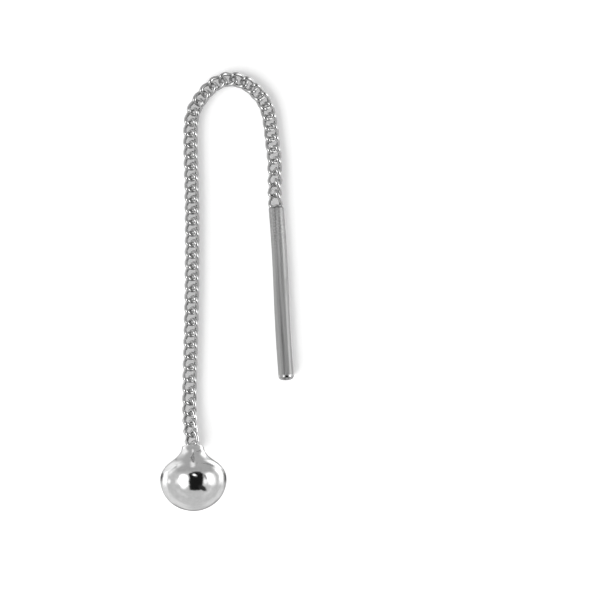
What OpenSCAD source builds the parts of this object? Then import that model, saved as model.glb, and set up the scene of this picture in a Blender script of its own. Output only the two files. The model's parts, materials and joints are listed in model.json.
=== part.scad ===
// Threader earring laid flat: a hollow drop bead, a curb chain and a straight ear bar.
// Millimetres. The earring lies on the plane z = 0, with its bend towards +Y.

/* [Bead] */
// Diameter of the bead at its widest circle
bead_d = 5.0; // [4.2:0.1:7]
// Depth of the bead from its widest circle to its closed end
bead_drop = 2.37; // [1.9:0.01:3.2]
// Height that the shoulder would reach above the widest circle if it closed as a dome
shoulder_h = 1.83; // [1.6:0.01:2.2]
// Thickness of the bead's sheet metal
bead_wall = 0.2; // [0.12:0.02:0.3]
// Distance from the widest circle to the mouth of the neck
neck_rise = 2.54; // [2.4:0.02:3.2]
// Outer diameter of the neck
neck_d = 1.6; // [1.5:0.05:2]
// Straight length of the neck below its mouth
neck_straight = 0.2; // [0.1:0.02:0.3]
// Depth of the solder's face below the mouth
solder_recess = 0.28; // [0.24:0.02:0.36]
// Thickness of the solder that closes the neck
solder_depth = 0.5; // [0.35:0.05:0.7]
// How far the bead's neck points down to the surface, in degrees
bead_tilt = 10; // [0:1:20]
// How far the bead's neck leans to the left in plan, in degrees
bead_lean = 1; // [0:1:10]

/* [Ear bar] */
// Diameter of the bar that goes through the ear
bar_d = 1.15; // [0.9:0.05:1.3]
// Length of the bar without its loop
bar_length = 13.2; // [8:0.1:20]
// Angle of the bar in plan, its free end to the right, in degrees
bar_angle = 3.4; // [0:0.2:10]
// Height of the rounded free end
tip_h = 0.35; // [0.2:0.05:0.6]
// Height of the rounded end at the loop
shoulder_tip_h = 0.2; // [0.1:0.05:0.4]
// Depth that the loop is sunk into the bar's end
loop_sink = 0.18; // [0.14:0.02:0.3]

/* [Chain] */
// Length of a link over its wire
link_length = 1.41; // [1.39:0.01:1.5]
// Width of a link over its wire, before it is twisted
link_width = 1.07; // [1.04:0.01:1.2]
// Diameter of the link wire
link_wire = 0.2; // [0.16:0.01:0.2]
// Free play between two links that are pulled straight
link_play = 0.16; // [0.15:0.01:0.19]
// Twist of a link from end to end, in degrees
link_twist = 110; // [100:1:116]
// How square the oval of a link is: 2 is an ellipse
link_squareness = 3; // [2.3:0.1:3.4]
// How much wider apart the links are drawn beside the bead, as a share of their distance
link_draw = 0.055; // [0:0.005:0.06]

/* [Hidden] */

// The chain's route, from the link soldered in the neck to the link soldered on the bar.
// Columns: x, y, share of the climb to the neck, share of the climb to the bar, roll in degrees.
ROUTE = [
  [-2.55, -12.00, 1.00, 0.0, -8],
  [-2.66, -11.20, 0.83, 0.0, -8],
  [-2.77, -10.45, 0.61, 0.0, -8],
  [-2.84, -9.65, 0.38, 0.0, -8],
  [-2.87, -8.85, 0.20, 0.0, -8],
  [-2.87, -8.00, 0.08, 0.0, -8],
  [-2.86, -7.20, 0.02, 0.0, -8],
  [-2.83, -6.20, 0.00, 0.0, -8],
  [-2.79, -4.60, 0.00, 0.0, -8],
  [-2.73, -2.20, 0.00, 0.0, -8],
  [-2.68, 0.60, 0.00, 0.0, -8],
  [-2.66, 4.60, 0.00, 0.0, -8],
  [-2.70, 7.80, 0.00, 0.0, -8],
  [-2.76, 9.90, 0.00, 0.0, -8],
  [-2.79, 11.50, 0.00, 0.0, -8],
  [-2.75, 12.65, 0.00, 0.0, -8],
  [-2.58, 13.53, 0.00, 0.0, -8],
  [-2.26, 14.18, 0.00, 0.0, -7],
  [-1.81, 14.81, 0.00, 0.0, -6],
  [-1.16, 15.49, 0.00, 0.0, -4],
  [-0.33, 15.93, 0.00, 0.0, -2],
  [0.60, 16.00, 0.00, 0.0, 0],
  [1.57, 15.62, 0.00, 0.0, 3],
  [2.28, 15.00, 0.00, 0.0, 5],
  [2.77, 14.38, 0.00, 0.0, 7],
  [3.04, 13.77, 0.00, 0.0, 8],
  [3.21, 13.08, 0.00, 0.0, 8],
  [3.33, 12.24, 0.00, 0.0, 8],
  [3.45, 11.20, 0.00, 0.1, 9],
  [3.58, 10.20, 0.00, 0.3, 11],
  [3.64, 9.35, 0.00, 0.5, 15],
  [3.67, 8.55, 0.00, 0.7, 20],
  [3.67, 7.75, 0.00, 0.9, 26],
  [3.69, 6.95, 0.00, 1.0, 32]
];

bead_r = bead_d / 2;
neck_r = neck_d / 2;
bar_r = bar_d / 2;
wire_r = link_wire / 2;

// Half length and half width of a link's centreline
link_a = (link_length - link_wire) / 2;
link_b = (link_width - link_wire) / 2;
// Distance between the middles of two links that are pulled straight
straight_pitch = 2 * link_a - link_wire - link_play;

// Sections along a link, sides of its wire, steps of the route between two of its points
LINK_SECTIONS = 14;
WIRE_SIDES = 6;
ROUTE_STEPS = 8;
ARC_STEPS = 14;
EXACT_FN = 48;

// Radius of a soldered link's corners, as a share of its half width
LOOP_CORNER = 0.7;

// Angle on the shoulder's dome, in degrees, at which it starts to sweep up into the neck
SHOULDER_TURN = 45;
// How far that sweep keeps the shoulder's and the neck's directions, as shares of its length
SHOULDER_PULL = 0.45;
NECK_PULL = 0.27;
// How square the bar's rounded ends are: 2 is an ellipse
END_SQUARENESS = 2.6;

function signed_power(x, p) = sign(x) * pow(abs(x), p);
function unit(v) = v / norm(v);

// A link's centreline at an angle round it: an oval along X, twisted about X
function link_point(angle) =
  let (
    along = link_a * signed_power(cos(angle), 2 / link_squareness),
    across = link_b * signed_power(sin(angle), 2 / link_squareness),
    turn = -link_twist * along / (2 * link_a)
  )
  [along, across * cos(turn), across * sin(turn)];

// The ring of wire corners round one section of a link
function wire_ring(angle) =
  let (
    middle = link_point(angle),
    ahead = unit(link_point(angle + 1) - link_point(angle - 1)),
    outward = unit(middle - (middle * ahead) * ahead),
    sideways = cross(ahead, outward)
  )
  [for (side = [0:WIRE_SIDES - 1])
    let (corner = side * 360 / WIRE_SIDES)
    middle + wire_r * (cos(corner) * outward + sin(corner) * sideways)];

LINK_POINTS = [
  for (section = [0:LINK_SECTIONS - 1])
    each wire_ring((section + 0.5) * 360 / LINK_SECTIONS)
];

function link_corner(section, side) =
  (section % LINK_SECTIONS) * WIRE_SIDES + side % WIRE_SIDES;

LINK_FACES = [
  for (section = [0:LINK_SECTIONS - 1], side = [0:WIRE_SIDES - 1])
    each [
      [link_corner(section, side), link_corner(section, side + 1), link_corner(section + 1, side)],
      [link_corner(section, side + 1), link_corner(section + 1, side + 1),
        link_corner(section + 1, side)]
    ]
];

// Depth of a link below its middle when it is rolled about its length
function link_reach(roll) = max([for (p = LINK_POINTS) -(p.y * sin(roll) + p.z * cos(roll))]);

// The bead's neck points along this direction
function bead_direction() = [
  -sin(bead_lean) * cos(bead_tilt),
  cos(bead_lean) * cos(bead_tilt),
  -sin(bead_tilt)
];

// Distance from the widest circle to the middle of the soldered link, on the solder's face
bead_link_rise = neck_rise - solder_recess;
// Height of the bead's middle when its belly touches the surface
bead_z = norm([bead_r * cos(bead_tilt), shoulder_h * sin(bead_tilt)]);
neck_link_z = bead_z - bead_link_rise * sin(bead_tilt);
bar_z = bar_r;

// A row of the route as x, y, z and roll: a link that doesn't climb rests on the surface
function route_point(row) =
  let (rest_z = link_reach(row[4]))
  [row[0], row[1], rest_z + row[2] * (neck_link_z - rest_z) + row[3] * (bar_z - rest_z), row[4]];

route_points = [for (row = ROUTE) route_point(row)];
last = len(route_points) - 1;

// A smooth curve through four neighbouring points, from the second to the third
function through(p0, p1, p2, p3, t) =
  0.5 * (2 * p1 + (p2 - p0) * t + (2 * p0 - 5 * p1 + 4 * p2 - p3) * t * t
    + (3 * p1 - p0 - 3 * p2 + p3) * t * t * t);

route_curve = concat(
  [for (i = [0:last - 1], step = [0:ROUTE_STEPS - 1])
    through(
      route_points[max(i - 1, 0)], route_points[i],
      route_points[i + 1], route_points[min(i + 2, last)], step / ROUTE_STEPS
    )],
  [route_points[last]]
);

curve_last = len(route_curve) - 1;

function place(p) = [p[0], p[1], p[2]];
function curve_step(i) = i < curve_last ? norm(place(route_curve[i + 1]) - place(route_curve[i])) : 0;

// Distance along the route at each point of the curve
route_distance = [for (i = 0, gone = 0; i <= curve_last; gone = gone + curve_step(i), i = i + 1) gone];
route_length = route_distance[curve_last];

// Tables of x, y, z and roll against the distance along the route
route_tables = [
  for (k = [0:3])
    [for (i = [0:curve_last]) [route_distance[i], route_curve[i][k]]]
];

function route_at(distance) = [for (k = [0:2]) lookup(distance, route_tables[k])];
function roll_at(distance) = lookup(distance, route_tables[3]);

// Both soldered links count, so there is one step more than there are loose links
link_steps = ceil(route_length / straight_pitch);
link_pitch = route_length / link_steps;

// Distance of a link along the route: the links are drawn apart by the bead's weight beside it
function link_distance(i) =
  let (t = i / link_steps)
  route_length * (t + link_draw * t * pow(1 - t, 2));

bead_link_middle = route_at(0);
bar_link_middle = route_at(route_length);
bead_middle = bead_link_middle - bead_link_rise * bead_direction();

// Turns +Z to a direction, with +X kept level
module along_z(direction) {
  z = unit(direction);
  x = unit(cross([0, 0, 1], z));
  y = cross(z, x);
  multmatrix([
    [x.x, y.x, z.x, 0],
    [x.y, y.y, z.y, 0],
    [x.z, y.z, z.z, 0]
  ]) children();
}

// Half of the bead's outline, taken in by a depth from the outside.
// It runs from the closed end, round the belly, up the shoulder and the neck to a height.
function bead_outline(depth, top) =
  let (
    r = bead_r - depth,
    drop = bead_drop - depth,
    dome = shoulder_h - depth,
    neck = neck_r - depth,
    start = [r * cos(SHOULDER_TURN), dome * sin(SHOULDER_TURN)],
    slope = unit([-r * sin(SHOULDER_TURN), dome * cos(SHOULDER_TURN)]),
    end = [neck, neck_rise - neck_straight],
    sweep = norm(end - start),
    start_handle = start + SHOULDER_PULL * sweep * slope,
    end_handle = end - [0, NECK_PULL * sweep]
  )
  concat(
    [for (i = [0:ARC_STEPS]) let (t = 90 - 90 * i / ARC_STEPS) [r * cos(t), -drop * sin(t)]],
    [for (i = [1:ARC_STEPS]) let (t = SHOULDER_TURN * i / ARC_STEPS) [r * cos(t), dome * sin(t)]],
    [for (i = [1:ARC_STEPS])
      let (t = i / ARC_STEPS, s = 1 - t)
      s * s * s * start + 3 * s * s * t * start_handle + 3 * s * t * t * end_handle + t * t * t * end],
    [[neck, top], [0, top]]
  );

// The end of a soldered link: two rounded corners and a straight on two legs, in the XZ plane
module loop_end(legs) {
  corner = LOOP_CORNER * link_b;
  straight = link_b - corner;
  for (side = [0, 1])
    mirror([side, 0, 0]) {
      translate([straight, 0, link_a - corner])
        rotate([90, 0, 0])
          rotate_extrude(angle = 90, $fn = EXACT_FN)
            translate([corner, 0]) circle(r = wire_r, $fn = EXACT_FN);
      translate([link_b, 0, -legs])
        cylinder(r = wire_r, h = legs + link_a - corner, $fn = EXACT_FN);
    }
  translate([-straight, 0, link_a])
    rotate([0, 90, 0]) cylinder(r = wire_r, h = 2 * straight, $fn = EXACT_FN);
}

// Hollow drop bead with its neck, the solder in it and the chain's first link
module bead() {
  cavity_top = bead_link_rise - solder_depth;
  color("silver")
    translate(bead_middle)
      along_z(bead_direction())
        union() {
          difference() {
            rotate_extrude($fn = EXACT_FN) polygon(bead_outline(0, neck_rise));
            rotate_extrude($fn = EXACT_FN)
              intersection() {
                polygon(bead_outline(bead_wall, neck_rise));
                translate([0, -bead_drop]) square([bead_r, bead_drop + cavity_top]);
              }
            translate([0, 0, bead_link_rise])
              cylinder(r = neck_r - bead_wall, h = 2 * solder_recess, $fn = EXACT_FN);
          }
          translate([0, 0, bead_link_rise])
            rotate([0, 0, roll_at(0) - link_twist / 2]) loop_end(solder_depth / 2);
        }
}

// One loose link, moved to its place on the route
module link(distance) {
  middle = route_at(distance);
  ahead = unit(route_at(distance + link_pitch / 2) - route_at(distance - link_pitch / 2));
  level = unit(cross([0, 0, 1], ahead));
  up = cross(ahead, level);
  roll = roll_at(distance);
  side = cos(roll) * level + sin(roll) * up;
  top = cos(roll) * up - sin(roll) * level;
  multmatrix([
    [ahead.x, side.x, top.x, middle.x],
    [ahead.y, side.y, top.y, middle.y],
    [ahead.z, side.z, top.z, middle.z]
  ]) polyhedron(points = LINK_POINTS, faces = LINK_FACES, convexity = 6);
}

// Curb chain: the loose links between the two soldered ones
module chain() {
  color("lightgray")
    for (i = [1:link_steps - 1])
      link(link_distance(i));
}

// Half of a rounded end's outline, from the shaft to the axis
function rounded_end(height, upwards) = [
  for (i = [0:ARC_STEPS])
    let (t = 90 * i / ARC_STEPS)
    [bar_r * pow(cos(t), 2 / END_SQUARENESS), upwards * height * pow(sin(t), 2 / END_SQUARENESS)]
];

function reversed(list) = [for (i = [len(list) - 1:-1:0]) list[i]];

// Ear bar: a plain shaft with two rounded ends and the chain's last link soldered on
module ear_bar() {
  bar_top = loop_sink - link_a - wire_r;
  bar_tip = bar_top - bar_length;
  color("darkgray")
    translate(bar_link_middle)
      along_z([-sin(bar_angle), cos(bar_angle), 0])
        union() {
          rotate_extrude($fn = EXACT_FN)
            polygon(concat(
              [for (p = reversed(rounded_end(tip_h, -1))) p + [0, bar_tip + tip_h]],
              [for (p = rounded_end(shoulder_tip_h, 1)) p + [0, bar_top - shoulder_tip_h]]
            ));
          rotate([0, 0, -roll_at(route_length) - link_twist / 2]) {
            loop_end(0);
            rotate([180, 0, 0]) loop_end(0);
          }
        }
}

bead();
chain();
ear_bar();
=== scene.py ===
"""The looks of the threader earring: polished drop bead, curb chain and satin ear bar on a lit white table.

The solids' frame is in metres. Sizes below are millimetres, as in the part's own source, and MM turns
them into metres. Photograph positions are pixels of the 600 x 600 frame.
"""
import json
import math
import bmesh
import bpy
import numpy as np
from mathutils import Matrix, Vector, noise


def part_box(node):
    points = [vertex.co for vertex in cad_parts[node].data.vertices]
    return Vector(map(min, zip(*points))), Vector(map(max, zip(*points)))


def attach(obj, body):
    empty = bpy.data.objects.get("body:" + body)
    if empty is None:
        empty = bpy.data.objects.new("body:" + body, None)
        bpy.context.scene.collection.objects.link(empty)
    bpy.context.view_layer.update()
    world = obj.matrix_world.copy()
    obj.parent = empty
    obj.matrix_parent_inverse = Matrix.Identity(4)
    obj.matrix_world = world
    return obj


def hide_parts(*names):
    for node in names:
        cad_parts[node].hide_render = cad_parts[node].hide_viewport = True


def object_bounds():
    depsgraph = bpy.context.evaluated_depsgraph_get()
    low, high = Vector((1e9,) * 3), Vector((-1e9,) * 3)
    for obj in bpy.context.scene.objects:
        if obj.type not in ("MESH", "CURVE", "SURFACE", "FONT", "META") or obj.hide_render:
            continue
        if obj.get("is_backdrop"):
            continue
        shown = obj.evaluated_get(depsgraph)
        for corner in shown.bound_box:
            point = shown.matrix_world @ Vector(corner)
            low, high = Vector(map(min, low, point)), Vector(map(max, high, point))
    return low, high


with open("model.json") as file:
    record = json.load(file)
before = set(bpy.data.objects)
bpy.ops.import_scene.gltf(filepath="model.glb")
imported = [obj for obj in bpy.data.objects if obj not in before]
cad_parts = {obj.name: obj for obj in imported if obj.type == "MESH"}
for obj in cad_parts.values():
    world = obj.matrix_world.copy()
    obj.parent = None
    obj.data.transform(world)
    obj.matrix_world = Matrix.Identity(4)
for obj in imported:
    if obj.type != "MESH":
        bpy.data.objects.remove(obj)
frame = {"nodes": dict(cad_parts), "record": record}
cad_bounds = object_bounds()

MM = 0.001

# Photograph: one pixel in millimetres, and the pixel that lies over the solids' origin
PIXEL = 0.07576
FRAME_PIXELS = 600
ORIGIN_PIXEL = (226.95, 291.05)

# Bead: the sizes that the part's own source has too, under the same names
BEAD_DROP = 2.37
SHOULDER_H = 1.83
BEAD_WALL = 0.2
NECK_RISE = 2.54
NECK_D = 1.6
NECK_STRAIGHT = 0.2
SOLDER_RECESS = 0.28
BEAD_TILT = math.radians(10)
BEAD_LEAN = math.radians(1)
SHOULDER_TURN = math.radians(45)
SHOULDER_PULL = 0.45
NECK_PULL = 0.27
# The neck narrows a little towards its mouth
NECK_TAPER = math.tan(math.radians(12))
LIP_R = 0.05
# Sides of the bead, and steps of its belly, dome, sweep up to the neck, lip and solder
BEAD_SIDES = 288
BELLY_STEPS = 64
DOME_STEPS = 24
SWEEP_STEPS = 32
LIP_STEPS = 7
MENISCUS_STEPS = 8
# Height and spacing of the shallow waves that hand polishing leaves
BEAD_WAVES = ((0.016, 1.3), (0.003, 0.4))
# Polishing ridges on the bead's upper side: both ends as pixels, half width and height
BEAD_RIDGES = (
    ((166.5, 466.5), (176.0, 459.5), 0.09, 0.028),
    ((168.5, 470.5), (176.5, 464.5), 0.09, 0.024),
)

# Ear bar: the sizes that the part's own source has too, under the same names
TIP_H = 0.35
SHOULDER_TIP_H = 0.2
LOOP_SINK = 0.18
END_SQUARENESS = 2.6
# Sides of the bar, and steps of its shaft and of each rounded end
BAR_SIDES = 72
BAR_STEPS = 300
END_STEPS = 22
# The plain dent in place of the struck mark: how far below the bar's top, its size and its angle
MARK_DROP = 6.05
MARK_LENGTH = 1.3
MARK_WIDTH = 0.42
MARK_DEPTH = 0.05
MARK_ANGLE = math.radians(147)
# The metal raised round the mark: its share of the mark's depth, its place and its softness
MARK_RIM = (0.35, 1.12, 0.12)
# The nicks: where they start and stop below the bar's top, their angle, depth and spacing, how wide the
# row is and over what length it fades
NICK_DROPS = (2.9, 4.3)
NICK_ANGLE = math.radians(156)
NICK_DEPTH = 0.016
NICK_SPACING = 0.13
NICK_SPREAD = 0.22
NICK_FADE = 0.3
# The dome of solder at the loop
SOLDER_R = 0.42
SOLDER_H = 0.13
SOLDER_STEPS = 20
# How uneven the solder is, and how large its lumps are
SOLDER_LUMPS = (0.25, 0.3)
# The rod isn't quite straight: how far it sways to either side
BAR_SWAY = 0.042

# Curb links: half the length and half the width of their middle line, and their wire, which is thicker
# than the solids' wire
LINK_A = 0.61
LINK_B = 0.42
LINK_WIRE = 0.295
LINK_TWIST = math.radians(112)
LINK_SQUARENESS = 4.4
# How each link lies compared with its solid: rolled about its length, raised at one end and turned
LINK_ROLL = math.radians(-9.5)
LINK_PITCH = math.radians(1.7)
LINK_YAW = math.radians(-7.4)
# How far the strand with the bead stands to the right of its solids, and how far apart the strands are
LINK_SHIFT = 0.06
STRANDS_APART = 6.5
# How far the links that lie on the table are raised, so that the rolled ones don't sink into it
LINK_LIFT = 0.13
# How far the last links before the bar are rolled further
LAST_LINK_TURNS = (math.radians(8), math.radians(20), math.radians(27))
LINK_SECTIONS = 64
LINK_SIDES = 14
# A small step along the wire, in radians, that gives the way it runs
LINK_STEP = 0.01
# The solids' links: their wire, half the length of their middle line, and how high their middle lies
SOLID_WIRE = 0.2
SOLID_LINK_A = 0.605
SOLID_REST = 0.46
# Points of the solids' mesh that are closer than this are one
WELD = 0.0005
# The soldered links
BEAD_LINK_MIDDLE = (-2.55, -12.0)
BEAD_LINK_ROLL = math.radians(-8)
BAR_LINK_ROLL = math.radians(50)

# Where the noise of the bead's waves and of the solder's lumps starts
WAVE_SHIFT = Vector((3.1, 7.7, 1.3))

BEAD_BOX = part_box("bead")
BEAD_R = (BEAD_BOX[1][0] - BEAD_BOX[0][0]) / MM / 2
EAR_PIN = next(mount for mount in frame["record"]["mounts"] if mount["name"] == "ear_pin")
BAR_R = EAR_PIN["dims"]["r_mm"]
BAR_SHAFT = EAR_PIN["dims"]["length_mm"]


def signed_power(x, p):
    return math.copysign(abs(x) ** p, x)


def level_axes(ahead):
    """The level direction across a direction, and the one above both."""
    level = Vector((0, 0, 1)).cross(ahead).normalized()
    return level, ahead.cross(level)


def along_z(direction, middle):
    """The matrix that turns +Z to a direction, with +X kept level, and moves the origin to a point."""
    level, up = level_axes(direction)
    matrix = Matrix((level, up, direction)).transposed().to_4x4()
    matrix.translation = middle
    return matrix


def new_object(name, verts, faces, material, matrix=None):
    mesh = bpy.data.meshes.new(name)
    mesh.from_pydata([tuple(v) for v in verts], [], faces)
    mesh.shade_smooth()
    mesh.materials.append(material)
    piece = bpy.data.objects.new(name, mesh)
    bpy.context.scene.collection.objects.link(piece)
    if matrix is not None:
        piece.matrix_world = matrix
    return piece


def add_piece(piece, slot, *nodes):
    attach(piece, "root")
    if nodes:
        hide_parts(*nodes)


def revolve(profile, sides):
    """Points and faces of an outline of (radius, height) turned round Z; both its ends lie on the axis."""
    verts = [Vector((0, 0, profile[0][1]))]
    for radius, height in profile[1:-1]:
        for k in range(sides):
            turn = 2 * math.pi * k / sides
            verts.append(Vector((radius * math.cos(turn), radius * math.sin(turn), height)))
    verts.append(Vector((0, 0, profile[-1][1])))
    rings = len(profile) - 2
    faces = []
    for k in range(sides):
        following = (k + 1) % sides
        faces.append((0, 1 + following, 1 + k))
        for ring in range(rings - 1):
            low, high = 1 + ring * sides, 1 + (ring + 1) * sides
            faces.append((low + k, low + following, high + following, high + k))
        top = 1 + (rings - 1) * sides
        faces.append((top + k, top + following, len(verts) - 1))
    return verts, faces


def scaled(verts):
    return [v * MM for v in verts]


# Materials


# Bands along the rod, partly drawn lines in the metal and partly painted reflection of the lights: how far
# round it from its left side over its top, and how light
ROD_BANDS_AND_SHEEN = (
    (0.03, 0.46), (0.13, 0.46), (0.18, 0.29), (0.215, 0.22), (0.262, 0.46), (0.285, 0.38),
    (0.315, 0.31), (0.355, 0.52), (0.38, 0.48), (0.412, 0.38), (0.46, 0.48), (0.6, 0.40), (0.75, 0.46),
    (0.9, 0.38),
)
# Heights on the rod from its middle, in metres: the grainy stretch fades in, the bright tip fades out
GRAIN_HEIGHTS = (3.0 * MM, 4.5 * MM)
TIP_HEIGHTS = (-6.35 * MM, -6.2 * MM)
# How much lighter and how much smoother the tip is than the rod
TIP_LIGHT = 0.03
TIP_POLISH = 0.7
# Nearly all of a noise texture's values lie between these
NOISE_LOW = 0.3
NOISE_HIGH = 0.7


def node_material(name):
    material = bpy.data.materials.new(name)
    material.use_nodes = True
    return material, material.node_tree, material.node_tree.nodes["Principled BSDF"]


def noise_node(tree, coordinates, scale, stretch=(1, 1, 1), detail=3.0, output="Fac"):
    mapping = tree.nodes.new("ShaderNodeMapping")
    mapping.inputs["Scale"].default_value = stretch
    texture = tree.nodes.new("ShaderNodeTexNoise")
    texture.inputs["Scale"].default_value = scale
    texture.inputs["Detail"].default_value = detail
    tree.links.new(coordinates, mapping.inputs["Vector"])
    tree.links.new(mapping.outputs["Vector"], texture.inputs["Vector"])
    return texture.outputs[output]


def spread(tree, value, low, high, start=NOISE_LOW, stop=NOISE_HIGH):
    """A value between start and stop, moved to between low and high."""
    node = tree.nodes.new("ShaderNodeMapRange")
    node.inputs["From Min"].default_value = start
    node.inputs["From Max"].default_value = stop
    node.inputs["To Min"].default_value = low
    node.inputs["To Max"].default_value = high
    tree.links.new(value, node.inputs["Value"])
    return node.outputs["Result"]


def math_node(tree, operation, first, second=None):
    node = tree.nodes.new("ShaderNodeMath")
    node.operation = operation
    for socket, value in zip(node.inputs, (first, second)):
        if value is None:
            continue
        if isinstance(value, (int, float)):
            socket.default_value = value
        else:
            tree.links.new(value, socket)
    return node.outputs[0]


def bump(tree, height, distance, before=None):
    node = tree.nodes.new("ShaderNodeBump")
    node.inputs["Distance"].default_value = distance
    tree.links.new(height, node.inputs["Height"])
    if before is not None:
        tree.links.new(before, node.inputs["Normal"])
    return node.outputs["Normal"]


def grey_ramp(tree, value, dark, light):
    ramp = tree.nodes.new("ShaderNodeValToRGB")
    ramp.color_ramp.elements[0].position = NOISE_LOW
    ramp.color_ramp.elements[0].color = (dark, dark, dark, 1)
    ramp.color_ramp.elements[1].position = NOISE_HIGH
    ramp.color_ramp.elements[1].color = (light, light, light, 1)
    tree.links.new(value, ramp.inputs["Fac"])
    return ramp.outputs["Color"]


def polished_silver():
    """Bright hand-polished silver with faint scratches that follow the bead round."""
    material, tree, shader = node_material("polished_silver")
    place = tree.nodes.new("ShaderNodeTexCoord").outputs["Object"]
    cloud = noise_node(tree, place, scale=900)
    scratch = noise_node(tree, place, scale=9000, stretch=(0.35, 0.35, 2.5), detail=5.0)
    shader.inputs["Metallic"].default_value = 1.0
    tree.links.new(grey_ramp(tree, cloud, dark=0.74, light=0.80), shader.inputs["Base Color"])
    tree.links.new(spread(tree, scratch, low=0.04, high=0.12), shader.inputs["Roughness"])
    tree.links.new(bump(tree, scratch, distance=0.0012 * MM), shader.inputs["Normal"])
    return material


def chain_silver():
    """Silver wire, bright where it is rubbed and a little dull in patches."""
    material, tree, shader = node_material("chain_silver")
    place = tree.nodes.new("ShaderNodeTexCoord").outputs["Object"]
    patch = noise_node(tree, place, scale=1800)
    grain = noise_node(tree, place, scale=14000, detail=4.0)
    shader.inputs["Metallic"].default_value = 1.0
    tree.links.new(grey_ramp(tree, patch, dark=0.52, light=0.62), shader.inputs["Base Color"])
    tree.links.new(spread(tree, patch, low=0.04, high=0.12), shader.inputs["Roughness"])
    tree.links.new(bump(tree, grain, distance=0.002 * MM), shader.inputs["Normal"])
    return material


def around_rod(tree, place):
    """How far round the rod a place is, from 0 on its left side over its top to 0.5, and its height."""
    parts = tree.nodes.new("ShaderNodeSeparateXYZ")
    tree.links.new(place, parts.inputs["Vector"])
    turn = math_node(tree, "ARCTAN2", parts.outputs["Y"], parts.outputs["X"])
    share = math_node(tree, "DIVIDE", turn, 2 * math.pi)
    return math_node(tree, "FRACT", math_node(tree, "ADD", share, 1.0)), parts.outputs["Z"]


def satin_silver():
    """Drawn silver rod: bands along it that partly paint in its reflection, fine lines, a grainy stretch
    below the loop, a bright tip.
    """
    material, tree, shader = node_material("satin_silver")
    place = tree.nodes.new("ShaderNodeTexCoord").outputs["Object"]
    lines = noise_node(tree, place, scale=7000, stretch=(1, 1, 0.02), detail=5.0)
    broad = noise_node(tree, place, scale=2600, stretch=(1, 1, 0.06), detail=2.0)
    grain = noise_node(tree, place, scale=9000, detail=4.0)
    around, height = around_rod(tree, place)
    # The bands are partly a painted reflection of the lights, set by how far round the rod a place is
    bands = tree.nodes.new("ShaderNodeValToRGB")
    bands.color_ramp.interpolation = "EASE"
    for position, level in ROD_BANDS_AND_SHEEN:
        stop = bands.color_ramp.elements.new(position)
        stop.color = (level, level, level, 1)
    for stop in (bands.color_ramp.elements[0], bands.color_ramp.elements[-1]):
        stop.color = (ROD_BANDS_AND_SHEEN[0][1],) * 3 + (1,)
    tree.links.new(around, bands.inputs["Fac"])
    near_loop = spread(tree, height, 0.1, 1.0, *GRAIN_HEIGHTS)
    tip = spread(tree, height, 1.0, 0.0, *TIP_HEIGHTS)
    speckle = math_node(tree, "MULTIPLY", spread(tree, grain, low=-0.10, high=0.10), near_loop)
    fine = spread(tree, lines, low=-0.05, high=0.05)
    streaks = math_node(tree, "ADD", fine, spread(tree, broad, low=-0.04, high=0.04))
    level = math_node(tree, "ADD", math_node(tree, "ADD", bands.outputs["Color"], speckle), streaks)
    lighter = math_node(tree, "MULTIPLY", tip, TIP_LIGHT)
    shader.inputs["Metallic"].default_value = 1.0
    tree.links.new(math_node(tree, "ADD", level, lighter), shader.inputs["Base Color"])
    smoother = math_node(tree, "SUBTRACT", 1.0, math_node(tree, "MULTIPLY", tip, TIP_POLISH))
    rough = math_node(tree, "MULTIPLY", spread(tree, lines, low=0.56, high=0.68), smoother)
    tree.links.new(rough, shader.inputs["Roughness"])
    drawn = bump(tree, lines, distance=0.005 * MM)
    grainy = bump(tree, math_node(tree, "MULTIPLY", grain, near_loop), distance=0.014 * MM, before=drawn)
    tree.links.new(grainy, shader.inputs["Normal"])
    return material


# Links


def link_point(angle):
    """A point of a link's centreline: an oval along X that is twisted about X."""
    along = LINK_A * signed_power(math.cos(angle), 2 / LINK_SQUARENESS)
    across = LINK_B * signed_power(math.sin(angle), 2 / LINK_SQUARENESS)
    turn = -LINK_TWIST * along / (2 * LINK_A)
    return Vector((along, across * math.cos(turn), across * math.sin(turn)))


def link_shape():
    """Points and faces of one link, with its middle at the origin."""
    verts = []
    for section in range(LINK_SECTIONS):
        angle = 2 * math.pi * (section + 0.5) / LINK_SECTIONS
        middle = link_point(angle)
        ahead = (link_point(angle + LINK_STEP) - link_point(angle - LINK_STEP)).normalized()
        outward = (middle - middle.dot(ahead) * ahead).normalized()
        sideways = ahead.cross(outward)
        for side in range(LINK_SIDES):
            corner = 2 * math.pi * side / LINK_SIDES
            spoke = math.cos(corner) * outward + math.sin(corner) * sideways
            verts.append(middle + LINK_WIRE / 2 * spoke)
    faces = []
    for section in range(LINK_SECTIONS):
        here = section * LINK_SIDES
        there = (section + 1) % LINK_SECTIONS * LINK_SIDES
        for side in range(LINK_SIDES):
            following = (side + 1) % LINK_SIDES
            faces.append((here + side, here + following, there + following, there + side))
    return verts, faces


def tilted_link(ahead, roll, middle):
    """The matrix of a link that points ahead: rolled about its length, then raised and turned a little."""
    level, up = level_axes(ahead)
    matrix = Matrix((ahead, level, up)).transposed().to_4x4()
    matrix @= Matrix.Rotation(LINK_YAW, 4, "Z") @ Matrix.Rotation(LINK_PITCH, 4, "Y")
    matrix @= Matrix.Rotation(roll + LINK_ROLL, 4, "X")
    matrix.translation = middle
    return matrix


def in_order(links):
    """The links' matrices in the chain's own order, from the bead on."""
    here = Vector(BEAD_LINK_MIDDLE) * MM
    ordered = []
    while links:
        following = min(links, key=lambda m: (m.translation.xy - here).length)
        links.remove(following)
        ordered.append(following)
        here = following.translation.xy
    return ordered


def islands(solid):
    """The points of each separate body of a mesh."""
    seen = set()
    for first in solid.verts:
        if first in seen:
            continue
        seen.add(first)
        waiting = [first]
        points = []
        while waiting:
            vert = waiting.pop()
            points.append(vert.co.copy())
            for edge in vert.link_edges:
                other = edge.other_vert(vert)
                if other not in seen:
                    seen.add(other)
                    waiting.append(other)
        yield np.array(points, dtype=float)


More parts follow.
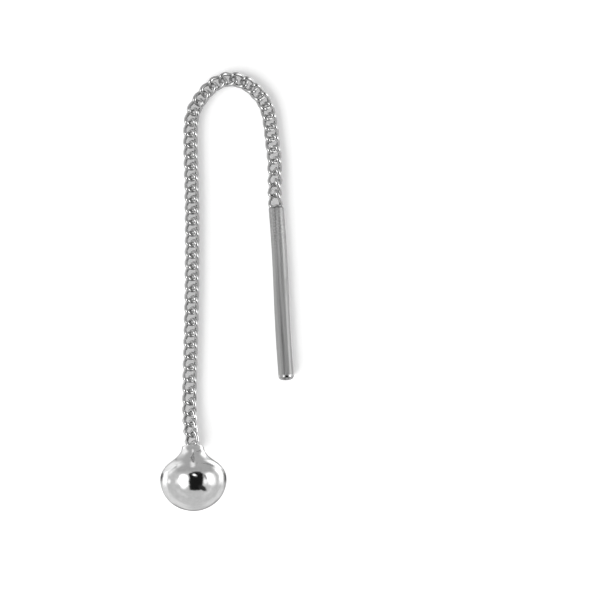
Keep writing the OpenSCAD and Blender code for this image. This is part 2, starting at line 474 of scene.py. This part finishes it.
def solid_links(node):
    """The matrix of each loose link, from the main directions of the points of its solid.

    Every link points the way that the chain runs, from the bead round the bend to the bar.
    """
    solid = bmesh.new()
    solid.from_mesh(frame["nodes"][node].data)
    bmesh.ops.remove_doubles(solid, verts=solid.verts, dist=WELD * MM)
    links = []
    for points in islands(solid):
        middle = points.mean(axis=0)
        directions = np.linalg.eigh(np.cov((points - middle).T))[1]
        middle, ahead, side = Vector(middle), Vector(directions[:, 2]), Vector(directions[:, 1])
        # The shift fades away towards the strand with the bar
        middle.x += LINK_SHIFT * MM * (0.5 - middle.x / (STRANDS_APART * MM))
        # The links that climb to the bead are raised less
        climbed = max(middle.z - SOLID_REST * MM, 0)
        middle.z += max(LINK_LIFT * MM - climbed / 2, 0)
        if middle.x * ahead.y > middle.y * ahead.x:
            ahead.negate()
        if ahead.cross(side).z < 0:
            side.negate()
        level, up = level_axes(ahead)
        links.append(tilted_link(ahead, math.atan2(side.dot(up), side.dot(level)), middle))
    solid.free()
    return in_order(links)


def joined(shapes):
    """Several shapes' points and faces as one, each moved by its matrix."""
    verts = []
    faces = []
    for (points, corners), matrix in shapes:
        start = len(verts)
        verts += [matrix @ (point * MM) for point in points]
        faces += [tuple(start + corner for corner in face) for face in corners]
    return verts, faces


def make_chain(material):
    """The chain's loose links as one piece, and the middles that it runs through."""
    matrices = solid_links("chain")
    for matrix, turn in zip(matrices[-len(LAST_LINK_TURNS):], LAST_LINK_TURNS):
        matrix @= Matrix.Rotation(turn, 4, "X")
    link = link_shape()
    chain = new_object("chain_links", *joined([(link, matrix) for matrix in matrices]), material)
    add_piece(chain, "chain_silver", "chain")
    return chain, [matrix.translation for matrix in matrices]


# Bead


def bead_profile():
    """The bead's outline from its closed end round to the middle of the solder in its neck."""
    neck_r = NECK_D / 2
    start = Vector((BEAD_R * math.cos(SHOULDER_TURN), SHOULDER_H * math.sin(SHOULDER_TURN)))
    slope = Vector((-BEAD_R * math.sin(SHOULDER_TURN), SHOULDER_H * math.cos(SHOULDER_TURN))).normalized()
    end = Vector((neck_r + NECK_STRAIGHT * NECK_TAPER, NECK_RISE - NECK_STRAIGHT))
    sweep = (end - start).length
    start_handle = start + SHOULDER_PULL * sweep * slope
    end_handle = end - NECK_PULL * sweep * Vector((-NECK_TAPER, 1))
    inner_r = neck_r - BEAD_WALL
    solder = NECK_RISE - SOLDER_RECESS
    belly = [
        (BEAD_R * math.sin(t), -BEAD_DROP * math.cos(t))
        for t in np.linspace(0, math.pi / 2, BELLY_STEPS)
    ]
    dome = [
        (BEAD_R * math.cos(t), SHOULDER_H * math.sin(t))
        for t in np.linspace(0, SHOULDER_TURN, DOME_STEPS)[1:]
    ]
    rise = [
        (1 - t) ** 3 * start + 3 * (1 - t) ** 2 * t * start_handle
        + 3 * (1 - t) * t * t * end_handle + t ** 3 * end
        for t in np.linspace(0, 1, SWEEP_STEPS)[1:]
    ]
    below_lip = NECK_STRAIGHT - LIP_R
    neck = [(end.x - below_lip * t * NECK_TAPER, end.y + below_lip * t) for t in (0.5, 1.0)]
    rim = [
        (middle + LIP_R * math.cos(t), NECK_RISE - LIP_R + LIP_R * math.sin(t))
        for middle, first in ((neck_r - LIP_R, 0), (inner_r + LIP_R, math.pi / 2))
        for t in np.linspace(first, first + math.pi / 2, LIP_STEPS)
    ]
    meniscus = [
        (inner_r - BEAD_WALL / 2 * (1 - math.cos(t)), solder + BEAD_WALL / 2 * (1 - math.sin(t)))
        for t in np.linspace(0, math.pi / 2, MENISCUS_STEPS)
    ]
    return belly + dome + [tuple(p) for p in rise] + neck + rim + meniscus + [(0, solder)]


def bead_direction():
    return Vector((
        -math.sin(BEAD_LEAN) * math.cos(BEAD_TILT),
        math.cos(BEAD_LEAN) * math.cos(BEAD_TILT),
        -math.sin(BEAD_TILT),
    ))


def bead_middle():
    """The middle of the soldered link, and of the bead's widest circle on the same axis."""
    direction = bead_direction()
    rise = NECK_RISE - SOLDER_RECESS
    height = math.hypot(BEAD_R * math.cos(BEAD_TILT), SHOULDER_H * math.sin(BEAD_TILT))
    link = Vector((BEAD_LINK_MIDDLE[0], BEAD_LINK_MIDDLE[1], height - rise * math.sin(BEAD_TILT)))
    return link * MM, (link - rise * direction) * MM


def over_pixel(pixel):
    """The place in the frame that a pixel of the photograph looks down on."""
    return Vector(((pixel[0] - ORIGIN_PIXEL[0]) * PIXEL * MM, (ORIGIN_PIXEL[1] - pixel[1]) * PIXEL * MM))


def ridge(above, start, stop, half_width, height):
    """Height of a fine ridge between two pixels at a point seen from above."""
    first, second, point = over_pixel(start), over_pixel(stop), Vector(above[:2])
    line = second - first
    share = min(1, max(0, (point - first).dot(line) / line.length_squared))
    distance = (point - first - share * line).length / MM
    return height * math.exp(-(distance / half_width) ** 2)


def make_bead(material, link_material):
    link_middle, middle = bead_middle()
    verts, faces = revolve(bead_profile(), BEAD_SIDES)
    place = along_z(bead_direction(), middle)
    marked = []
    for v in verts:
        height = sum(depth * noise.noise(v / spacing + WAVE_SHIFT) for depth, spacing in BEAD_WAVES)
        above = place @ (v * MM)
        if above.z > middle.z:
            height += sum(ridge(above, *mark) for mark in BEAD_RIDGES)
        marked.append(v + height * v.normalized())
    bead = new_object("bead_shell", scaled(marked), faces, material, place)
    add_piece(bead, "polished_silver", "bead")
    # The photograph shows no shadow beside the bead
    bead.visible_diffuse = False
    link_place = tilted_link(bead_direction(), BEAD_LINK_ROLL, link_middle)
    link = new_object("bead_link", *joined([(link_shape(), link_place)]), link_material)
    add_piece(link, "polished_silver")
    # The next link and the solder in the neck would mirror it as dark spots
    link.visible_glossy = False


# Ear bar


def struck_mark(along, turn):
    """Depth of the plain dent in place of the struck mark, with metal raised round its edge."""
    x = along / (MARK_LENGTH / 2)
    y = (turn - MARK_ANGLE) * BAR_R / (MARK_WIDTH / 2)
    reach = (x ** 4 + y ** 4) ** 0.25
    if reach < 1:
        return MARK_DEPTH * (1 - reach ** 4)
    share, place, soft = MARK_RIM
    return -share * MARK_DEPTH * math.exp(-((reach - place) / soft) ** 2)


def nicks(v, drop, turn):
    """Depth of the small nicks in a row along the bar's right side."""
    across = math.exp(-((turn - NICK_ANGLE) / NICK_SPREAD) ** 2)
    start, stop = NICK_DROPS
    along = min(1, max(0, (drop - start) / NICK_FADE)) * min(1, max(0, (stop - drop) / NICK_FADE))
    return NICK_DEPTH * across * along * noise.noise(v / NICK_SPACING)


def bar_profile():
    """The bar's outline from its free end to the end at the loop; z = 0 is the middle of its shaft."""
    def rounded(height):
        power = 2 / END_SQUARENESS
        turns = np.linspace(0, math.pi / 2, END_STEPS)
        return [(BAR_R * max(0, math.cos(t)) ** power, height * math.sin(t) ** power) for t in turns]

    tip = [(x, y - BAR_SHAFT / 2) for x, y in reversed(rounded(-TIP_H))]
    top = [(x, y + BAR_SHAFT / 2) for x, y in rounded(SHOULDER_TIP_H)]
    shaft = [(BAR_R, BAR_SHAFT * (t - 0.5)) for t in np.linspace(0, 1, BAR_STEPS)[1:-1]]
    profile = tip + shaft + top
    profile[0] = (0, profile[0][1])
    profile[-1] = (0, profile[-1][1])
    return profile


def make_bar(material, link_material):
    up = -Vector(EAR_PIN["axis"]).normalized()
    middle = Vector(EAR_PIN["pos_m"])
    bar_top = BAR_SHAFT / 2 + SHOULDER_TIP_H
    place = along_z(up, middle)
    verts, faces = revolve(bar_profile(), BAR_SIDES)
    struck = []
    for v in verts:
        outward = Vector((v.x, v.y, 0))
        if outward.length > 0:
            outward.normalize()
        turn = math.atan2(v.y, v.x)
        drop = bar_top - v.z
        depth = struck_mark(drop - MARK_DROP, turn) + nicks(v, drop, turn)
        sway = BAR_SWAY * math.sin(2 * math.pi * drop / (BAR_SHAFT + TIP_H + SHOULDER_TIP_H))
        struck.append(v - depth * outward - Vector((sway, 0, 0)))
    bar = new_object("ear_bar_rod", scaled(struck), faces, material, place)
    add_piece(bar, "satin_silver", "ear_bar")
    loop_middle = place @ Vector((0, 0, (bar_top - LOOP_SINK + SOLID_LINK_A + SOLID_WIRE / 2) * MM))
    loop = joined([(link_shape(), tilted_link(-up, BAR_LINK_ROLL, loop_middle))])
    add_piece(new_object("ear_bar_link", *loop, link_material), "satin_silver")
    turns = np.linspace(math.pi, 0, SOLDER_STEPS)
    dome = [(SOLDER_R * math.sin(t), SOLDER_H * math.cos(t)) for t in turns]
    verts, faces = revolve(dome, BAR_SIDES)
    uneven, lump = SOLDER_LUMPS
    lumpy = [v * (1 + uneven * noise.noise(v / lump + WAVE_SHIFT)) + Vector((0, 0, bar_top)) for v in verts]
    solder = new_object("ear_bar_solder", scaled(lumpy), faces, link_material, place)
    add_piece(solder, "satin_silver")
    return bar


# Studio


# Brightness of the room and of the lamps' own middles
STUDIO_LEVEL = 0.65
LAMP_LEVEL = 9.0
# Brightness straight below, under the earring itself, and where it starts on the ball
UNDER_LEVEL = 0.15
UNDER_START = 0.95
# How unevenly the painted shapes lie, and how uneven the room's brightness is
UNEVEN_SCALE = 4.0
UNEVEN_SHIFT = 0.10
MOTTLE_SCALE = 7.0
MOTTLE_DEPTH = 0.07
# The table's own light, its white with how cloudy it is, and the even light that falls on it
FLOOR_GLOW = 0.347
FLOOR_WHITE = 0.8
FLOOR_CLOUDS = 0.01
TABLE_FILL = 0.33
# Half the table's side, in metres
TABLE_HALF = 3.0
# The key light: its strength, how far from overhead it stands, which way it shines and how wide it is
KEY_STRENGTH = 2.6
KEY_ZENITH = math.radians(50)
KEY_TURN = math.radians(35)
KEY_ANGLE = math.radians(55)
# The strip that keeps the key light's shadow close: its width and its height above the table
STRIP_W = 1.0
STRIP_H = 0.75
# How high the camera is and how far it sees, in metres
CAMERA_HEIGHT = 0.7
CAMERA_REACH = 10


class Studio:
    """Brightness by direction, painted where a mirror ball seen from above shows it.

    The ball reaches from -1 to 1 across and along. Its middle shows what is straight overhead and
    its rim what is straight below.
    """

    def __init__(self, tree, level):
        self.tree = tree
        direction = self.direction = tree.nodes.new("ShaderNodeTexCoord").outputs["Generated"]
        parts = tree.nodes.new("ShaderNodeSeparateXYZ")
        tree.links.new(direction, parts.inputs[0])
        # A hair more than 1, so that straight down doesn't divide by nothing
        above_straight_down = self.maths("ADD", parts.outputs["Z"], 1.001)
        stretch = self.maths("SQRT", self.maths("MULTIPLY", above_straight_down, 2.0))
        uneven = noise_node(tree, direction, UNEVEN_SCALE, output="Color")
        shifts = tree.nodes.new("ShaderNodeSeparateXYZ")
        tree.links.new(uneven, shifts.inputs[0])
        self.x = self.shifted(self.maths("DIVIDE", parts.outputs["X"], stretch), shifts.outputs["X"])
        self.y = self.shifted(self.maths("DIVIDE", parts.outputs["Y"], stretch), shifts.outputs["Y"])
        self.from_middle = self.length(self.x, self.y)
        self.level = level

    def maths(self, operation, first, second=None):
        return math_node(self.tree, operation, first, second)

    def shifted(self, value, uneven):
        shift = self.maths("MULTIPLY", self.maths("SUBTRACT", uneven, 0.5), UNEVEN_SHIFT)
        return self.maths("ADD", value, shift)

    def length(self, x, y):
        squares = self.maths("ADD", self.maths("POWER", x, 2.0), self.maths("POWER", y, 2.0))
        return self.maths("SQRT", squares)

    def step(self, value, start, stop):
        """0 at one value, 1 at the other and smooth between them."""
        node = self.tree.nodes.new("ShaderNodeMapRange")
        node.interpolation_type = "SMOOTHSTEP"
        node.inputs["From Min"].default_value = start
        node.inputs["From Max"].default_value = stop
        self.tree.links.new(value, node.inputs["Value"])
        return node.outputs["Result"]

    def between(self, value, low, high, soft):
        rising = self.step(value, low - soft, low + soft)
        return self.maths("MULTIPLY", rising, self.step(value, high + soft, high - soft))

    def card(self, level, across, along, soft):
        """A rectangle, given left to right and bottom to top."""
        inside = self.between(self.x, *across, soft), self.between(self.y, *along, soft)
        self.blend(level, self.maths("MULTIPLY", *inside))

    def oval(self, level, middle, half_sizes, turn, soft):
        """An oval whose longer axes are turned anticlockwise; soft is a share of its half sizes."""
        x = self.maths("SUBTRACT", self.x, middle[0])
        y = self.maths("SUBTRACT", self.y, middle[1])
        c, s = math.cos(math.radians(turn)), math.sin(math.radians(turn))
        along = self.maths("ADD", self.maths("MULTIPLY", x, c), self.maths("MULTIPLY", y, s))
        across = self.maths("SUBTRACT", self.maths("MULTIPLY", y, c), self.maths("MULTIPLY", x, s))
        along = self.maths("DIVIDE", along, half_sizes[0])
        across = self.maths("DIVIDE", across, half_sizes[1])
        reach = self.length(along, across)
        self.blend(level, self.step(reach, 1 + soft, 1 - soft))

    def arc(self, level, radii, middle, half, soft_radius, soft):
        """A stretch of a ring round the ball's middle; its angles are in degrees from the right."""
        c, s = math.cos(math.radians(middle)), math.sin(math.radians(middle))
        towards = self.maths("ADD", self.maths("MULTIPLY", self.x, c), self.maths("MULTIPLY", self.y, s))
        cosine = self.maths("DIVIDE", towards, self.maths("MAXIMUM", self.from_middle, 0.01))
        inside = self.step(cosine, math.cos(math.radians(half + soft)), math.cos(math.radians(half - soft)))
        ring = self.between(self.from_middle, *radii, soft_radius)
        self.blend(level, self.maths("MULTIPLY", inside, ring))

    def mottle(self):
        """Makes the whole room's brightness a little uneven."""
        cloud = noise_node(self.tree, self.direction, MOTTLE_SCALE, detail=4.0)
        share = spread(self.tree, cloud, 1 - MOTTLE_DEPTH, 1 + MOTTLE_DEPTH)
        self.level = self.maths("MULTIPLY", self.level, share)

    def blend(self, level, inside):
        """Lays one brightness over the rest, wherever inside is 1."""
        mix = self.tree.nodes.new("ShaderNodeMix")
        mix.data_type = "FLOAT"
        self.tree.links.new(inside, mix.inputs[0])
        for socket, value in ((mix.inputs[2], self.level), (mix.inputs[3], level)):
            if isinstance(value, (int, float)):
                socket.default_value = value
            else:
                self.tree.links.new(value, socket)
        self.level = mix.outputs[0]


def paint_studio(studio):
    """A pale room with two lights, the dark camera hood between them and a grey wall beyond the bead.

    Each shape starts with its brightness. Later ones lie over the earlier ones.
    """
    # Grey wall with a slit of light, which the shoulder of the bead mirrors
    studio.card(0.46, across=(-0.52, 0.58), along=(0.30, 2), soft=0.10)
    studio.card(1.0, across=(-0.07, 0.03), along=(0.56, 0.80), soft=0.04)
    # Pale and bright bands round the room, which the outer part of the bead mirrors
    studio.arc(1.12, radii=(0.72, 0.93), middle=140, half=22, soft_radius=0.06, soft=12)
    studio.arc(0.88, radii=(0.82, 0.95), middle=-135, half=30, soft_radius=0.03, soft=16)
    studio.arc(0.82, radii=(0.84, 0.95), middle=-42, half=24, soft_radius=0.03, soft=12)
    studio.arc(0.75, radii=(0.54, 0.62), middle=-125, half=13, soft_radius=0.04, soft=12)
    studio.arc(0.75, radii=(0.56, 0.66), middle=-45, half=15, soft_radius=0.04, soft=12)
    studio.arc(1.6, radii=(0.86, 0.97), middle=50, half=16, soft_radius=0.03, soft=10)
    studio.arc(1.6, radii=(0.77, 0.91), middle=16, half=22, soft_radius=0.04, soft=12)
    studio.arc(1.5, radii=(0.80, 0.93), middle=174, half=17, soft_radius=0.04, soft=9)
    # Soft boxes to the left and right, with their lamps
    studio.oval(1.3, middle=(-0.74, -0.06), half_sizes=(0.04, 0.07), turn=0, soft=0.6)
    studio.card(1.1, across=(-0.54, -0.30), along=(-0.17, 0.01), soft=0.07)
    studio.oval(2.4, middle=(-0.285, -0.055), half_sizes=(0.14, 0.235), turn=5, soft=0.4)
    studio.oval(1.8, middle=(0.51, 0.05), half_sizes=(0.13, 0.23), turn=18, soft=0.55)
    studio.oval(1.25, middle=(0.36, -0.08), half_sizes=(0.06, 0.10), turn=0, soft=0.6)
    for middle in ((-0.27, -0.06), (0.53, 0.02)):
        studio.oval(LAMP_LEVEL, middle=middle, half_sizes=(0.04, 0.12), turn=8, soft=0.4)
    # Camera hood with a flap at its lower right, a grey edge on its right and a light spot near its top
    studio.card(0.06, across=(-0.06, 0.24), along=(0.16, 0.31), soft=0.04)
    studio.card(0.012, across=(-0.13, 0.29), along=(-0.36, 0.23), soft=0.03)
    studio.oval(0.03, middle=(0.27, -0.29), half_sizes=(0.14, 0.075), turn=-35, soft=0.35)
    studio.oval(0.34, middle=(0.345, 0.10), half_sizes=(0.12, 0.03), turn=-58, soft=0.5)
    studio.oval(1.7, middle=(0.035, 0.145), half_sizes=(0.06, 0.035), turn=-15, soft=0.5)
    # Dark outline at the very rim
    studio.arc(UNDER_LEVEL, radii=(0.925, 1.3), middle=174, half=7, soft_radius=0.03, soft=8)
    studio.arc(UNDER_LEVEL, radii=(0.925, 1.3), middle=4, half=7, soft_radius=0.03, soft=8)
    studio.blend(UNDER_LEVEL, studio.step(studio.from_middle, UNDER_START, 1))
    studio.mottle()


def make_world():
    """Soft studio light that the metal mirrors, an even fill for the table and white for the camera."""
    world = bpy.data.worlds.new("studio")
    bpy.context.scene.world = world
    world.use_nodes = True
    tree = world.node_tree
    background = tree.nodes["Background"]
    studio = Studio(tree, STUDIO_LEVEL)
    paint_studio(studio)
    path = tree.nodes.new("ShaderNodeLightPath")
    level = studio.level
    for ray, plain in (("Is Diffuse Ray", TABLE_FILL), ("Is Camera Ray", 1.0)):
        mix = tree.nodes.new("ShaderNodeMix")
        mix.data_type = "FLOAT"
        tree.links.new(path.outputs[ray], mix.inputs[0])
        tree.links.new(level, mix.inputs[2])
        mix.inputs[3].default_value = plain
        level = mix.outputs[0]
    tree.links.new(level, background.inputs["Strength"])
    background.inputs["Color"].default_value = (1, 1, 1, 1)


def make_table(lowest):
    """A white light table that the earring lies on."""
    material, tree, shader = node_material("light_table")
    place = tree.nodes.new("ShaderNodeTexCoord").outputs["Object"]
    cloud = noise_node(tree, place, scale=60)
    white = grey_ramp(tree, cloud, FLOOR_WHITE - FLOOR_CLOUDS, FLOOR_WHITE + FLOOR_CLOUDS)
    tree.links.new(white, shader.inputs["Base Color"])
    shader.inputs["Emission Color"].default_value = (1, 1, 1, 1)
    shader.inputs["Roughness"].default_value = 1.0
    shader.inputs["Specular IOR Level"].default_value = 0.0
    shader.inputs["Emission Strength"].default_value = FLOOR_GLOW
    corners = [(x * TABLE_HALF, y * TABLE_HALF, lowest) for x, y in ((-1, -1), (1, -1), (1, 1), (-1, 1))]
    table = new_object("light_table", corners, [(0, 1, 2, 3)], material)
    table.visible_glossy = False
    table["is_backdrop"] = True


def make_shade_strip(route, table_level):
    """A low strip along the chain and the bar. Only the key light sees it, and it casts their shadow."""
    verts = []
    faces = []
    for k, point in enumerate(route):
        ahead = (route[min(k + 1, len(route) - 1)] - route[max(k - 1, 0)]).to_2d().normalized()
        side = Vector((-ahead.y, ahead.x)) * STRIP_W / 2 * MM
        for edge in (side, -side):
            foot = point.to_2d() + edge
            verts += [(*foot, table_level), (*foot, table_level + STRIP_H * MM)]
    for k in range(len(route) - 1):
        here, there = 4 * k, 4 * k + 4
        for first, second in ((0, 1), (1, 3), (3, 2)):
            faces.append((here + first, here + second, there + second, there + first))
    strip = new_object("shade_strip", verts, faces, bpy.data.materials["light_table"])
    strip.visible_camera = strip.visible_diffuse = strip.visible_glossy = False
    strip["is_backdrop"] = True
    return strip


def make_key(strip):
    """A soft light from the lower left. The strip alone shades it, beside the chain and the bar."""
    light = bpy.data.lights.new("key", "SUN")
    light.energy = KEY_STRENGTH
    light.angle = KEY_ANGLE
    key = bpy.data.objects.new("key", light)
    travel = Vector((
        math.sin(KEY_ZENITH) * math.cos(KEY_TURN),
        math.sin(KEY_ZENITH) * math.sin(KEY_TURN),
        -math.cos(KEY_ZENITH),
    ))
    key.rotation_euler = travel.to_track_quat("-Z", "Y").to_euler()
    key.visible_glossy = False
    bpy.context.scene.collection.objects.link(key)
    shadows = bpy.data.collections.new("key_shadows")
    shadows.objects.link(strip)
    key.light_linking.blocker_collection = shadows


def make_camera():
    """Straight down over the middle of the photograph, from far off."""
    centre = over_pixel((FRAME_PIXELS / 2, FRAME_PIXELS / 2))
    data = bpy.data.cameras.new("camera")
    data.lens = data.sensor_width * CAMERA_HEIGHT / (FRAME_PIXELS * PIXEL * MM)
    data.clip_end = CAMERA_REACH
    camera = bpy.data.objects.new("camera", data)
    camera.location = (*centre, CAMERA_HEIGHT)
    bpy.context.scene.collection.objects.link(camera)
    bpy.context.scene.camera = camera


make_camera()
polished = polished_silver()
wire = chain_silver()
satin = satin_silver()
chain, chain_route = make_chain(wire)
make_bead(polished, wire)
bar = make_bar(satin, wire)
make_world()
table_level = min(v.co.z for v in chain.data.vertices)
make_table(table_level)
bar_ends = [bar.matrix_world @ Vector((0, 0, end * BAR_SHAFT / 2 * MM)) for end in (1, -1)]
chain_start = Vector((*BEAD_LINK_MIDDLE, 0)) * MM
make_key(make_shade_strip([chain_start, *chain_route, *bar_ends], table_level))
bpy.context.scene.view_settings.view_transform = "Standard"

[[list(map(float, corner)) for corner in box] for box in (cad_bounds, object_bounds())]
